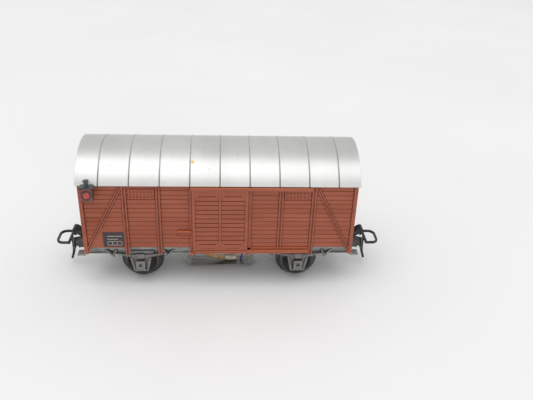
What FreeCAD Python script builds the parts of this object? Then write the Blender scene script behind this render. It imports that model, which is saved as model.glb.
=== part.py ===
import FreeCAD, Part
import math
import os

os.makedirs("parts", exist_ok=True)

# Model box car, 16.5 mm gauge, about 1:87. Millimetres, +Z up, origin on the
# ground under the middle of the car, at the lowest point of the wheel flanges.

# ---- driving dimensions -------------------------------------------------
BODY_HALF_X = 44.3
POST_FACE_X = 44.7
BODY_HALF_Y = 15.2
POST_FACE_Y = 15.64
WALL = 1.0
SHELL_BOTTOM = 16.0
POST_FOOT = 13.45
EAVE = 39.25
BOARD_PITCH = 1.63
BOARDS = 14
GROOVE_WIDTH = 0.26
GROOVE_DEPTH = 0.22
POST_XS = (-30.5, -19.8, 19.8, 30.5)
POST_WIDTH = 1.4
CHANNEL_WIDTH = 0.5
CHANNEL_DEPTH = 0.3

ROOF_R = 19.02
ROOF_THICK = 0.82
ROOF_HALF_X = 45.28
ROOF_HALF_Y = 16.35
ROOF_CENTRE_Z = 29.53
ROOF_SEAM_PITCH = 9.53
SEAM_WIDTH = 0.34
SEAM_HEIGHT = 0.12

DOOR_LEFT = -9.0
DOOR_RIGHT = 9.1
DOOR_BOTTOM = 15.5
DOOR_TOP = 37.8
DOOR_BACK_Y = 15.74
DOOR_FOOT = 13.6
DOOR_FACE_Y = 16.3
DOORWAY_HALF_X = 8.2
DOORWAY_TOP = 36.6
RAIL_FACE_Y = 16.62
RAIL_END_X = 29.7
LABEL_PANEL_Y = 15.46
PANEL_TOP = 23.9

FLOOR_HALF_X = 44.2
FLOOR_HALF_Y = 14.9
SOLEBAR_Y = 13.15
SOLEBAR_THICK = 0.8
SOLEBAR_BOTTOM = 12.2
FLOOR_UNDER = 15.2
SPIGOT_TOP = 16.6
BALLAST_TOP = 17.8
LOAD_FLOOR_TOP = 18.3
HEADSTOCK_X = 45.0

AXLE_X = 26.85
AXLE_Z = 7.3
FLANGE_R = 7.3
TREAD_R = 6.0
TYRE_INNER_R = 5.1
WHEEL_BACK_Y = 7.0
WHEEL_FRONT_Y = 10.0
AXLE_R = 1.0
JOURNAL_R = 0.70
CUP_BORE_R = 0.75
CUP_R = 1.2
GUARD_FACE_Y = 13.35
GUARD_RECESS_Y = 13.0
LEAF_THICK = 0.28
LEAF_CURVE = 0.008

PIVOT_X = 38.0
PIVOT_R = 1.0
PIVOT_HOLE_R = 1.06
DRAWBAR_LOW = 10.9
DRAWBAR_HIGH = 12.1
LOOP_PIN_X = 47.2
LOOP_PIN_Z = 12.0
LOOP_PIN_R = 0.40
LOOP_HOLE_R = 0.45
LOOP_FRONT_X = 57.25
LOOP_HALF_Y = 4.35
LOOP_BAR = 0.75

BUFFER_Y = 10.3
BUFFER_Z = 14.7
BUFFER_FACE_X = 49.3

LAMP_X = -41.2
LAMP_Z = 37.2
GUIDE_R = 0.8

SHOE_LOW = 0.35
SHOE_TOP = 0.7
PLATE_UNDER = 14.2
WIRE_X = 7.0
WIRE_Y = 1.5
WIRE_R = 0.35
TIGHT_BEND = 0.7
LOOSE_BEND = 6.0


# ---- small shape helpers ------------------------------------------------
def box(x0, x1, y0, y1, z0, z1):
    corner = FreeCAD.Vector(min(x0, x1), min(y0, y1), min(z0, z1))
    return Part.makeBox(abs(x1 - x0), abs(y1 - y0), abs(z1 - z0), corner)


def rod_x(x0, x1, y, z, r):
    start = FreeCAD.Vector(min(x0, x1), y, z)
    return Part.makeCylinder(r, abs(x1 - x0), start, FreeCAD.Vector(1, 0, 0))


def rod_y(x, y0, y1, z, r):
    start = FreeCAD.Vector(x, min(y0, y1), z)
    return Part.makeCylinder(r, abs(y1 - y0), start, FreeCAD.Vector(0, 1, 0))


def rod_z(x, y, z0, z1, r):
    start = FreeCAD.Vector(x, y, min(z0, z1))
    return Part.makeCylinder(r, abs(z1 - z0), start, FreeCAD.Vector(0, 0, 1))


def slab_xz(points, y0, y1):
    """A flat outline in X and Z, given its thickness along Y."""
    corners = [FreeCAD.Vector(x, min(y0, y1), z) for x, z in points]
    corners.append(corners[0])
    face = Part.Face(Part.makePolygon(corners))
    return face.extrude(FreeCAD.Vector(0, abs(y1 - y0), 0))


def slab_yz(points, x0, x1):
    corners = [FreeCAD.Vector(min(x0, x1), y, z) for y, z in points]
    corners.append(corners[0])
    face = Part.Face(Part.makePolygon(corners))
    return face.extrude(FreeCAD.Vector(abs(x1 - x0), 0, 0))


def turned_part(outline, x, z):
    """Revolve an outline of (distance along Y, radius) about a Y axis."""
    corners = [FreeCAD.Vector(x, y, z + r) for y, r in outline]
    corners.append(corners[0])
    face = Part.Face(Part.makePolygon(corners))
    return face.revolve(FreeCAD.Vector(x, 0, z), FreeCAD.Vector(0, 1, 0), 360)


def joined(shapes):
    whole = shapes[0].fuse(shapes[1:]) if len(shapes) > 1 else shapes[0]
    return whole.removeSplitter()


def bar_between(xa, za, xb, zb, width, y0, y1):
    """A straight bar of the given width from one point to another in X and Z."""
    length = math.hypot(xb - xa, zb - za)
    nx = -(zb - za) / length * width / 2
    nz = (xb - xa) / length * width / 2
    points = [(xa + nx, za + nz), (xb + nx, zb + nz), (xb - nx, zb - nz), (xa - nx, za - nz)]
    return slab_xz(points, y0, y1)


def half_turn(shape):
    copy = shape.copy()
    copy.rotate(FreeCAD.Vector(0, 0, 0), FreeCAD.Vector(0, 0, 1), 180)
    return copy


def other_side(shape):
    return shape.mirror(FreeCAD.Vector(0, 0, 0), FreeCAD.Vector(0, 1, 0))


def other_end(shape):
    return shape.mirror(FreeCAD.Vector(0, 0, 0), FreeCAD.Vector(1, 0, 0))


def save(shape, name):
    shape.exportStep("parts/" + name + ".step")


# ---- body shell: planked walls, posts, braces, flaps and door guides -----
def side_trim():
    """Everything that stands proud of the near wall, less the door."""
    pieces = []
    for x in POST_XS:
        post = box(x - POST_WIDTH / 2, x + POST_WIDTH / 2, -POST_FACE_Y, -BODY_HALF_Y, POST_FOOT, EAVE)
        slot = box(x - CHANNEL_WIDTH / 2, x + CHANNEL_WIDTH / 2, -POST_FACE_Y, CHANNEL_DEPTH - POST_FACE_Y,
                   POST_FOOT, EAVE)
        pieces.append(post.cut(slot))
    for end in (-1, 1):
        pieces.append(box(end * 43.5, end * POST_FACE_X, -POST_FACE_Y, -BODY_HALF_Y, POST_FOOT, EAVE))
        brace = bar_between(end * 43.8, POST_FOOT + 0.9, end * 31.4, EAVE - 0.6, 1.1, -15.55, -BODY_HALF_Y)
        slot = bar_between(end * 43.8, POST_FOOT + 0.9, end * 31.4, EAVE - 0.6, 0.3, -15.55, -15.35)
        pieces.append(brace.cut(slot))
        pieces.append(flap(end * 25.05))
    frame = box(-43.3, -39.0, -15.4, -BODY_HALF_Y, 25.3, 26.85)
    pieces.append(frame.cut(box(-43.05, -39.25, -15.4, -15.28, 25.55, 26.6)))
    return pieces + door_posts() + latch() + [label_panel()]


def door_posts():
    """The two posts beside the door, with feet that carry the lower rail."""
    left = box(-9.95, DOOR_LEFT - 0.05, -15.62, -BODY_HALF_Y, DOOR_FOOT, DOOR_TOP)
    right = box(DOOR_RIGHT + 0.02, 10.2, -15.62, -BODY_HALF_Y, DOOR_FOOT, DOOR_TOP)
    left_foot = box(-9.95, -8.0, -16.3, -BODY_HALF_Y, DOOR_FOOT, 14.3)
    right_foot = box(8.3, 10.2, -16.3, -BODY_HALF_Y, DOOR_FOOT, 14.3)
    return [left, right, left_foot, right_foot]


def latch():
    """Latch bar left of the door, its two studs and the framed plate under it."""
    bar = box(-13.9, -9.1, -16.05, -15.6, 21.85, 22.6)
    studs = [box(x, x + 0.6, -15.6, -BODY_HALF_Y, 21.85, 22.6) for x in (-13.2, -10.5)]
    plate = box(-13.8, -9.95, -15.42, -BODY_HALF_Y, 20.4, 21.4)
    plate = plate.cut([box(-13.55, -12.0, -15.42, -15.3, 20.65, 21.15),
                       box(-11.7, -10.2, -15.42, -15.3, 20.65, 21.15)])
    return [bar, plate] + studs


def label_panel():
    """Smooth raised panel between brace and post, with a sloping top edge."""
    outline = [(-42.25, SHELL_BOTTOM), (-38.6, PANEL_TOP), (-31.0, PANEL_TOP), (-31.0, SHELL_BOTTOM)]
    panel = slab_xz(outline, -LABEL_PANEL_Y, -BODY_HALF_Y)
    bevel = slab_yz([(-LABEL_PANEL_Y, 22.95), (-LABEL_PANEL_Y, 25.0), (-BODY_HALF_Y - 0.06, 25.0),
                     (-BODY_HALF_Y - 0.06, PANEL_TOP)], -43, -31.2)
    return panel.cut(bevel)


def flap(x):
    """Framed ventilation flap with two rows of upright slats."""
    face = box(x - 4.15, x + 4.15, -15.5, -BODY_HALF_Y, 34.4, 37.7)
    slots = []
    for k in range(7):
        left = x - 3.72 + k * 1.12
        slots.append(box(left, left + 0.55, -15.5, -15.24, 34.75, 35.95))
        slots.append(box(left, left + 0.55, -15.5, -15.24, 36.4, 37.35))
    return face.cut(slots)


def door_guides():
    """Grooved rails above and below the door of the near side."""
    low = box(DOOR_LEFT + 0.6, RAIL_END_X, -RAIL_FACE_Y, -BODY_HALF_Y, 14.3, 15.4)
    low_slot = box(DOOR_LEFT + 0.6, RAIL_END_X, -16.26, -15.76, 14.75, 15.4)
    low_back = box(-9.5, RAIL_END_X, -15.62, -BODY_HALF_Y, 15.3, SHELL_BOTTOM + 0.1)
    high = box(DOOR_LEFT - 0.5, RAIL_END_X, -RAIL_FACE_Y, -BODY_HALF_Y, 37.95, 38.85)
    high_slot = box(DOOR_LEFT - 0.5, RAIL_END_X, -16.26, -15.76, 37.95, 38.5)
    return [low.cut(low_slot), low_back, high.cut(high_slot)]


def board_grooves():
    grooves = []
    for k in range(1, BOARDS):
        z = SHELL_BOTTOM + k * BOARD_PITCH
        low = z - GROOVE_WIDTH / 2
        high = z + GROOVE_WIDTH / 2
        for side in (-1, 1):
            grooves.append(box(-50, 50, side * (BODY_HALF_Y - GROOVE_DEPTH), side * 20, low, high))
            grooves.append(box(side * (BODY_HALF_X - GROOVE_DEPTH), side * 50, -20, 20, low, high))
    return grooves


roof_inner_r = ROOF_R - ROOF_THICK
walls = box(-BODY_HALF_X, BODY_HALF_X, -BODY_HALF_Y, BODY_HALF_Y, SHELL_BOTTOM, 49)
arch = rod_x(-50, 50, 0, ROOF_CENTRE_Z, roof_inner_r)
under_roof = joined([arch, box(-50, 50, -20, 20, 10, EAVE - 0.3)])
walls = walls.common(under_roof)
walls = walls.cut(box(WALL - BODY_HALF_X, BODY_HALF_X - WALL, WALL - BODY_HALF_Y, BODY_HALF_Y - WALL, 10, 60))
walls = walls.cut(box(-DOORWAY_HALF_X, DOORWAY_HALF_X, -20, 20, LOAD_FLOOR_TOP, DOORWAY_TOP))
walls = walls.cut(board_grooves())
proud = side_trim() + door_guides()
proud = proud + [half_turn(piece) for piece in proud]
for end in (-1, 1):
    for side in (-1, 1):
        proud.append(box(end * BODY_HALF_X, end * POST_FACE_X, side * 14.1, side * BODY_HALF_Y,
                         SHELL_BOTTOM, EAVE - 0.3))
        proud.append(box(end * BODY_HALF_X, end * POST_FACE_X, side * 4.6, side * 5.8,
                         SHELL_BOTTOM, 45.6))
# The wall between the boards of an end stops at the arch, and so do its posts.
proud = [piece.common(under_roof) for piece in proud]
body_shell = joined([walls] + proud)
lamp_holes = rod_y(LAMP_X, -20, 20, LAMP_Z, GUIDE_R)
body_shell = body_shell.cut(lamp_holes)
save(body_shell, "body_shell")

# ---- roof: one silver arch with raised seams ----------------------------
roof = rod_x(-ROOF_HALF_X, ROOF_HALF_X, 0, ROOF_CENTRE_Z, ROOF_R)
seams = []
for k in range(-4, 5):
    x = k * ROOF_SEAM_PITCH
    seams.append(rod_x(x - SEAM_WIDTH / 2, x + SEAM_WIDTH / 2, 0, ROOF_CENTRE_Z, ROOF_R + SEAM_HEIGHT))
roof = roof.fuse(seams)
roof = roof.cut(rod_x(-60, 60, 0, ROOF_CENTRE_Z, roof_inner_r))
roof = roof.cut(box(-60, 60, -30, 30, 0, EAVE))
tabs = []
for x in (-20, 20):
    for side in (-1, 1):
        tabs.append(box(x - 2, x + 2, side * 13.4, side * 14.12, 36.5, 41.3))
arch_space = rod_x(-50, 50, 0, ROOF_CENTRE_Z, ROOF_R - 0.3)
roof = joined([roof] + [tab.common(arch_space) for tab in tabs])
save(roof, "roof")


# ---- sliding doors ------------------------------------------------------
def make_door():
    slab = box(DOOR_LEFT, DOOR_RIGHT, -DOOR_FACE_Y, -DOOR_BACK_Y, DOOR_BOTTOM, DOOR_TOP)
    middle = (DOOR_LEFT + DOOR_RIGHT) / 2
    cuts = []
    for k in range(12):
        z = DOOR_BOTTOM + 2.2 + k * BOARD_PITCH
        short = 1.3 if k in (0, 11) else 0.0
        cuts.append(box(DOOR_LEFT + 1.2 + short, middle - 0.4, -DOOR_FACE_Y, -16.1, z - 0.16, z + 0.16))
        cuts.append(box(middle + 0.4, DOOR_RIGHT - 1.2 - short, -DOOR_FACE_Y, -16.1, z - 0.16, z + 0.16))
    slab = slab.cut(cuts)
    strips = []
    strips.append(box(DOOR_LEFT, DOOR_LEFT + 1.0, -16.5, -DOOR_FACE_Y, DOOR_BOTTOM, DOOR_TOP))
    strips.append(box(DOOR_RIGHT - 1.0, DOOR_RIGHT, -16.5, -DOOR_FACE_Y, DOOR_BOTTOM, DOOR_TOP))
    strips.append(box(middle - 0.32, middle + 0.32, -16.5, -DOOR_FACE_Y, DOOR_BOTTOM, DOOR_TOP))
    strips.append(box(DOOR_LEFT + 1.0, DOOR_RIGHT - 1.0, -15.86, -DOOR_BACK_Y - 0.4, 15.0, DOOR_BOTTOM))
    strips.append(box(DOOR_LEFT + 1.0, DOOR_RIGHT - 1.0, -15.86, -DOOR_BACK_Y - 0.4, DOOR_TOP, 38.35))
    return joined([slab] + strips)


door = make_door()
save(door, "door_near")
save(half_turn(door), "door_far")


# ---- underframe ---------------------------------------------------------
def make_underframe():
    pieces = []
    pieces.append(box(-FLOOR_HALF_X, FLOOR_HALF_X, -FLOOR_HALF_Y, FLOOR_HALF_Y, FLOOR_UNDER, SHELL_BOTTOM))
    inner_x = BODY_HALF_X - WALL
    inner_y = BODY_HALF_Y - WALL
    pieces.append(box(-inner_x, inner_x, -inner_y, inner_y, SHELL_BOTTOM, SPIGOT_TOP))
    for side in (-1, 1):
        web = side * (SOLEBAR_Y - SOLEBAR_THICK)
        solebar = box(-FLOOR_HALF_X, FLOOR_HALF_X, web, side * SOLEBAR_Y, SOLEBAR_BOTTOM, FLOOR_UNDER)
        hollow = box(-FLOOR_HALF_X, FLOOR_HALF_X, side * (SOLEBAR_Y - 0.3), side * SOLEBAR_Y, 12.55, 13.6)
        pieces.append(solebar.cut(hollow))
    for end in (-1, 1):
        beam = box(end * FLOOR_HALF_X, end * HEADSTOCK_X, -13.6, 13.6, 12.6, SHELL_BOTTOM)
        pieces.append(beam)
        pieces.append(rod_z(end * PIVOT_X, 0, SOLEBAR_BOTTOM, FLOOR_UNDER, 2.6))
        pieces.append(box(end * 31.2, end * 32.6, -1.1, 1.1, 10.9, FLOOR_UNDER))
        for side in (-1, 1):
            pieces.append(step_under_buffer(end, side))
    frame = joined(pieces)
    holes = []
    for end in (-1, 1):
        holes.append(rod_z(end * PIVOT_X, 0, SOLEBAR_BOTTOM, FLOOR_UNDER, PIVOT_R))
        holes.append(box(end * 31.6, end * 32.6, -0.15, 0.15, 10.9, 12.0))
    holes.append(rod_z(-5, 0, FLOOR_UNDER, SPIGOT_TOP, 0.8))
    holes.append(rod_z(WIRE_X - 0.1, WIRE_Y, FLOOR_UNDER, SPIGOT_TOP, 0.6))
    return frame.cut(holes)


def step_under_buffer(end, side):
    tread = box(end * 45.6, end * 48.2, side * 8.7, side * 11.9, 10.5, 11.0)
    near_strap = bar_between(end * 44.6, 13.0, end * 46.0, 10.7, 0.6, side * 8.7, side * 9.3)
    far_strap = bar_between(end * 44.6, 13.0, end * 46.0, 10.7, 0.6, side * 11.3, side * 11.9)
    return joined([tread, near_strap, far_strap])


underframe = make_underframe()
save(underframe, "underframe")

# ---- weight plate and load floor ---------------------------------------
ballast = box(-36, 36, -13.5, 13.5, SPIGOT_TOP, BALLAST_TOP)
ballast = ballast.cut(box(-36, WIRE_X + 0.5, WIRE_Y - 0.5, WIRE_Y + 0.5, SPIGOT_TOP, BALLAST_TOP))
ballast = ballast.cut(rod_z(-5, 0, SPIGOT_TOP, BALLAST_TOP, 0.8))
save(ballast, "weight_plate")

load_floor = box(WALL - BODY_HALF_X, BODY_HALF_X - WALL, WALL - BODY_HALF_Y, BODY_HALF_Y - WALL,
                 BALLAST_TOP, LOAD_FLOOR_TOP)
load_floor = load_floor.cut(rod_z(LAMP_X, WIRE_Y, BALLAST_TOP, LOAD_FLOOR_TOP, 0.6))
save(load_floor, "load_floor")


# ---- axle guards with spring, axle box and bearing cup -------------------
def spring_leaf(x, half, low):
    """One leaf of the spring, lowest in the middle, its ends curling up."""
    rise = LEAF_CURVE * half * half
    corners = [FreeCAD.Vector(x + way * half, -14.0, low + rise + up)
               for way, up in ((-1, 0), (1, 0), (1, LEAF_THICK), (-1, LEAF_THICK))]
    under = Part.Arc(corners[0], FreeCAD.Vector(x, -14.0, low), corners[1]).toShape()
    over = Part.Arc(corners[2], FreeCAD.Vector(x, -14.0, low + LEAF_THICK), corners[3]).toShape()
    right = Part.makeLine(corners[1], corners[2])
    left = Part.makeLine(corners[3], corners[0])
    face = Part.Face(Part.Wire([under, right, over, left]))
    return face.extrude(FreeCAD.Vector(0, 14.0 - SOLEBAR_Y - 0.05, 0))


def make_axle_guard(x):
    """Near-side guard plate at an axle, with the leaf spring and its hangers."""
    inner = -(SOLEBAR_Y - SOLEBAR_THICK)
    outline = [(x - 3.65, SOLEBAR_BOTTOM), (x + 3.65, SOLEBAR_BOTTOM), (x + 3.65, 10.9), (x + 2.45, 5.1),
               (x - 2.45, 5.1), (x - 3.65, 10.9)]
    recess = [(x - 2.5, 10.3), (x + 2.5, 10.3), (x + 1.7, 5.7), (x - 1.7, 5.7)]
    pieces = [slab_xz(outline, -GUARD_FACE_Y, inner).cut(slab_xz(recess, -GUARD_FACE_Y, -GUARD_RECESS_Y))]
    pieces.append(box(x - 4.5, x + 4.5, -13.55, -SOLEBAR_Y, SOLEBAR_BOTTOM, 13.5))
    for k, half in enumerate((3.0, 5.0, 7.0, 9.0)):
        pieces.append(spring_leaf(x, half, 11.06 + k * LEAF_THICK))
    buckle = [(x - 1.4, 12.4), (x + 1.4, 12.4), (x + 0.9, 10.7), (x - 0.9, 10.7)]
    pieces.append(slab_xz(buckle, -14.25, -SOLEBAR_Y))
    for way in (-1, 1):
        pieces.append(bar_between(x + way * 8.8, 11.4, x + way * 11.3, 14.1, 0.6, -13.85, -SOLEBAR_Y))
        pieces.append(bar_between(x + way * 8.8, 11.4, x + way * 7.9, 14.1, 0.6, -13.85, -SOLEBAR_Y))
    pieces.append(box(x - 1.35, x + 1.35, -14.35, -GUARD_RECESS_Y, 5.8, 9.6))
    cover = box(x - 1.5, x + 1.5, -14.75, -14.35, 6.55, 9.8)
    pieces.append(cover.cut(box(x - 0.6, x + 0.6, -14.75, -14.45, 7.75, 8.95)))
    guard = joined(pieces)
    return guard.cut(rod_y(x, inner, -14.2, AXLE_Z, CUP_R))


def make_cup(x):
    outline = [(-14.2, 0.0), (-14.2, CUP_R), (-12.35, CUP_R), (-12.35, CUP_BORE_R), (-13.9, CUP_BORE_R),
               (-13.9, 0.0)]
    return turned_part(outline, x, AXLE_Z)


for end, end_name in ((-1, "left"), (1, "right")):
    guard = make_axle_guard(end * AXLE_X)
    cup = make_cup(end * AXLE_X)
    save(guard, "axle_guard_near_" + end_name)
    save(other_side(guard), "axle_guard_far_" + end_name)
    save(cup, "bearing_cup_near_" + end_name)
    save(other_side(cup), "bearing_cup_far_" + end_name)

# ---- wheelsets ----------------------------------------------------------
axle_outline = [(-13.75, 0.0), (-13.75, JOURNAL_R - 0.25), (-13.45, JOURNAL_R), (-12.2, JOURNAL_R),
                (-12.2, AXLE_R), (12.2, AXLE_R), (12.2, JOURNAL_R), (13.45, JOURNAL_R),
                (13.75, JOURNAL_R - 0.25), (13.75, 0.0)]
centre_outline = [(-10.1, AXLE_R), (-10.1, 1.9), (-9.3, 2.1), (-9.1, 3.9), (-9.7, TYRE_INNER_R),
                  (-7.2, TYRE_INNER_R), (-7.6, 3.9), (-7.4, 1.9), (-7.2, AXLE_R)]
tyre_outline = [(-WHEEL_FRONT_Y, TYRE_INNER_R), (-WHEEL_FRONT_Y, TREAD_R - 0.2), (-9.8, TREAD_R - 0.08),
                (-8.15, TREAD_R), (-7.95, TREAD_R + 0.3), (-7.75, FLANGE_R - 0.2), (-7.5, FLANGE_R),
                (-7.2, FLANGE_R - 0.15), (-WHEEL_BACK_Y, FLANGE_R - 0.6), (-WHEEL_BACK_Y, TYRE_INNER_R)]
for end, end_name in ((-1, "left"), (1, "right")):
    x = end * AXLE_X
    save(turned_part(axle_outline, x, AXLE_Z), "axle_" + end_name)
    centre = turned_part(centre_outline, x, AXLE_Z)
    tyre = turned_part(tyre_outline, x, AXLE_Z)
    save(centre, "wheel_centre_near_" + end_name)
    save(other_side(centre), "wheel_centre_far_" + end_name)
    save(tyre, "tyre_near_" + end_name)
    save(other_side(tyre), "tyre_far_" + end_name)


# ---- buffers ------------------------------------------------------------
def make_buffer():
    """The near buffer of the right-hand end, one moulding."""
    housing = rod_x(HEADSTOCK_X, 47.4, -BUFFER_Y, BUFFER_Z, 1.65)
    foot = box(HEADSTOCK_X, 45.5, -BUFFER_Y - 1.9, 1.9 - BUFFER_Y, 13.0, 16.0)
    shank = rod_x(47.4, 48.6, -BUFFER_Y, BUFFER_Z, 1.1)
    head = rod_x(48.6, BUFFER_FACE_X, -BUFFER_Y, BUFFER_Z, 2.0)
    return joined([housing, foot, shank, head])


buffer = make_buffer()
save(buffer, "buffer_near_right")
save(other_side(buffer), "buffer_far_right")
save(other_end(buffer), "buffer_near_left")
save(other_end(other_side(buffer)), "buffer_far_left")


# ---- hook-and-loop couplers ---------------------------------------------
def make_drawbar():
    """Drawbar of the right-hand end: swings on its pivot, ramp at the front."""
    eye = rod_z(PIVOT_X, 0, DRAWBAR_LOW, DRAWBAR_HIGH, 2.2)
    tail = box(35.2, 37.0, -1.5, 1.5, DRAWBAR_LOW, DRAWBAR_HIGH)
    bar = box(PIVOT_X, 45.6, -1.6, 1.6, DRAWBAR_LOW, DRAWBAR_HIGH)
    ramp_outline = [(45.0, DRAWBAR_LOW), (46.4, DRAWBAR_LOW), (51.3, 13.2), (51.7, 14.8), (50.9, 15.2),
                    (46.0, DRAWBAR_HIGH), (45.0, DRAWBAR_HIGH)]
    nose_outline = [(50.75, 12.8), (50.75, 11.7), (51.35, 11.7), (51.45, 13.4), (51.0, 13.6)]
    ramp = slab_xz(ramp_outline, -1.6, 1.6).fuse(slab_xz(nose_outline, -0.7, 0.7))
    whole = joined([eye, tail, bar, ramp])
    whole = whole.cut(rod_z(PIVOT_X, 0, DRAWBAR_LOW, DRAWBAR_HIGH, PIVOT_HOLE_R))
    whole = whole.cut(box(35.2, 36.4, -0.65, 0.65, DRAWBAR_LOW, DRAWBAR_HIGH))
    return whole.cut(rod_y(LOOP_PIN_X, -1.6, 1.6, LOOP_PIN_Z, LOOP_HOLE_R))


def rounded_end(x0, x1, half_y, radius, low, high):
    """A plate across the middle line whose two far corners are rounded."""
    pieces = [box(x0, x1 - radius, -half_y, half_y, low, high)]
    pieces.append(box(x0, x1, radius - half_y, half_y - radius, low, high))
    for side in (-1, 1):
        pieces.append(rod_z(x1 - radius, side * (half_y - radius), low, high, radius))
    return joined(pieces)


def make_loop():
    """Loop with its two arms, upright blade and the trip tail under it."""
    low = 10.4
    high = 11.2
    ring = rounded_end(52.3, LOOP_FRONT_X, LOOP_HALF_Y, 2.5, low, high)
    hole = rounded_end(53.1, LOOP_FRONT_X - LOOP_BAR, LOOP_HALF_Y - LOOP_BAR, 1.75, low, high)
    pieces = [ring.cut(hole)]
    arm_outline = [(46.6, 12.5), (47.7, 12.6), (53.0, high), (53.0, low), (47.0, 11.4), (46.6, 11.7)]
    for side in (-1, 1):
        pieces.append(slab_xz(arm_outline, side * 1.75, side * 2.4))
    blade_outline = [(52.1, high), (52.8, high), (52.7, 5.8), (53.6, 2.4), (53.6, 1.9), (52.9, 1.9),
                     (51.8, 5.4)]
    pieces.append(slab_xz(blade_outline, -0.6, 0.6))
    whole = joined(pieces)
    return whole.cut(rod_y(LOOP_PIN_X, -3, 3, LOOP_PIN_Z, LOOP_PIN_R))


drawbar = make_drawbar()
loop = make_loop()
loop_pin = rod_y(LOOP_PIN_X, -2.4, 2.4, LOOP_PIN_Z, LOOP_PIN_R)
rivet = joined([rod_z(PIVOT_X, 0, 10.2, 10.8, 1.9), rod_z(PIVOT_X, 0, 10.8, FLOOR_UNDER, PIVOT_R)])
centring = box(31.6, 36.0, -0.15, 0.15, DRAWBAR_LOW, 12.0)
for name, shape in (("drawbar", drawbar), ("coupler_loop", loop), ("loop_pin", loop_pin),
                    ("coupler_rivet", rivet), ("centring_spring", centring)):
    save(shape, name + "_right")
    save(other_end(shape), name + "_left")

# ---- tail lamps: bulb, light rod and the two lanterns --------------------
socket = box(-43.3, -39.4, -2.0, 2.0, 30.4, 32.4)
save(socket, "lamp_socket")
bulb_glass = rod_z(LAMP_X, 0, 32.4, 35.0, 1.2)
bulb_dome = Part.makeSphere(1.2, FreeCAD.Vector(LAMP_X, 0, 35.0))
save(joined([bulb_glass, bulb_dome]), "lamp_bulb")
save(rod_y(LAMP_X, -18.3, 18.3, LAMP_Z, GUIDE_R), "light_rod")


def make_lantern():
    """Near-side lantern: hooded case, chimney, bracket, ring for the lens."""
    case = box(-43.0, -39.4, -19.0, -16.6, 35.1, 39.6)
    hood = box(-43.45, -38.95, -19.3, -16.5, 39.6, 40.0)
    chimney = rod_z(LAMP_X, -17.9, 40.0, 41.6, 0.7)
    cap = rod_z(LAMP_X, -17.9, 41.6, 42.1, 0.95)
    ring = rod_y(LAMP_X, -19.3, -19.0, LAMP_Z, 1.55)
    bracket = box(-42.3, -40.1, -16.6, -BODY_HALF_Y, 35.9, 38.5)
    whole = joined([case, hood, chimney, cap, ring, bracket])
    whole = whole.cut(rod_y(LAMP_X, -18.3, -15.2, LAMP_Z, GUIDE_R))
    return whole.cut(rod_y(LAMP_X, -19.3, -18.3, LAMP_Z, 1.2))


lantern = make_lantern()
lens = turned_part([(-18.3, 0.0), (-18.3, 1.2), (-19.2, 1.2), (-19.4, 0.7), (-19.48, 0.0)], LAMP_X, LAMP_Z)
save(lantern, "lantern_near")
save(other_side(lantern), "lantern_far")
save(lens, "lantern_lens_near")
save(other_side(lens), "lantern_lens_far")

# ---- contact shoe that feeds the bulb -----------------------------------
insulator = box(-9, 9, -5, 5, PLATE_UNDER, FLOOR_UNDER)
insulator = insulator.cut(rod_z(-5, 0, PLATE_UNDER, FLOOR_UNDER, 0.8))
insulator = insulator.cut(rod_z(WIRE_X, WIRE_Y, PLATE_UNDER, FLOOR_UNDER, WIRE_R))
save(insulator, "shoe_insulator")
shoe_screw = joined([rod_z(-5, 0, 13.2, 14.0, 1.4), rod_z(-5, 0, 14.0, BALLAST_TOP, 0.8)])
save(shoe_screw, "shoe_screw")
leaf_outline = [(-3.2, 14.2), (-3.2, 14.0), (-8.2, 14.0), (-9.7, 7.6), (-6.2, 4.1), (-1.0, 2.3), (1.6, 1.9),
                (1.6, 1.7), (-1.0, 2.1), (-6.3, 3.9), (-9.9, 7.6), (-8.4, 14.2)]
leaf = slab_xz(leaf_outline, -1.2, 1.2).cut(rod_z(-5, 0, 13.9, 14.3, 0.8))
save(leaf, "shoe_spring")
shoe_outline = [(-12.6, 2.3), (-10.4, SHOE_TOP), (10.4, SHOE_TOP), (12.6, 2.3), (12.9, 2.0), (10.6, SHOE_LOW),
                (-10.6, SHOE_LOW), (-12.9, 2.0)]
save(slab_xz(shoe_outline, -3, 3), "contact_shoe")
block = box(1.6, 5.9, -0.6, 2.2, 1.4, 2.8)
block = joined([block, box(2.2, 5.3, 0.2, 1.8, SHOE_TOP, 1.4)])
save(block, "shoe_block")


def wire(points, r, largest_bend):
    """A round wire: straight runs joined by arcs that touch them."""
    at = [FreeCAD.Vector(*p) for p in points]
    edges = []
    start = at[0]
    for before, bend, after in zip(at, at[1:], at[2:]):
        back = before.sub(bend)
        ahead = after.sub(bend)
        half_turn_angle = (math.pi - back.getAngle(ahead)) / 2
        reach = min(0.45 * min(back.Length, ahead.Length), largest_bend * math.tan(half_turn_angle))
        back.normalize()
        ahead.normalize()
        into = bend.add(back.multiply(reach))
        out = bend.add(ahead.multiply(reach))
        radius = reach / math.tan(half_turn_angle)
        to_centre = into.add(out).multiply(0.5).sub(bend)
        to_centre.normalize()
        middle = bend.add(to_centre.multiply(radius / math.cos(half_turn_angle) - radius))
        edges.append(Part.LineSegment(start, into).toShape())
        edges.append(Part.Arc(into, middle, out).toShape())
        start = out
        print("bend radius", round(radius, 2))
    edges.append(Part.LineSegment(start, at[-1]).toShape())
    ring = Part.Wire(Part.makeCircle(r, at[0], at[1].sub(at[0])))
    return Part.Wire(edges).makePipeShell([ring], True, True)


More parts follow.
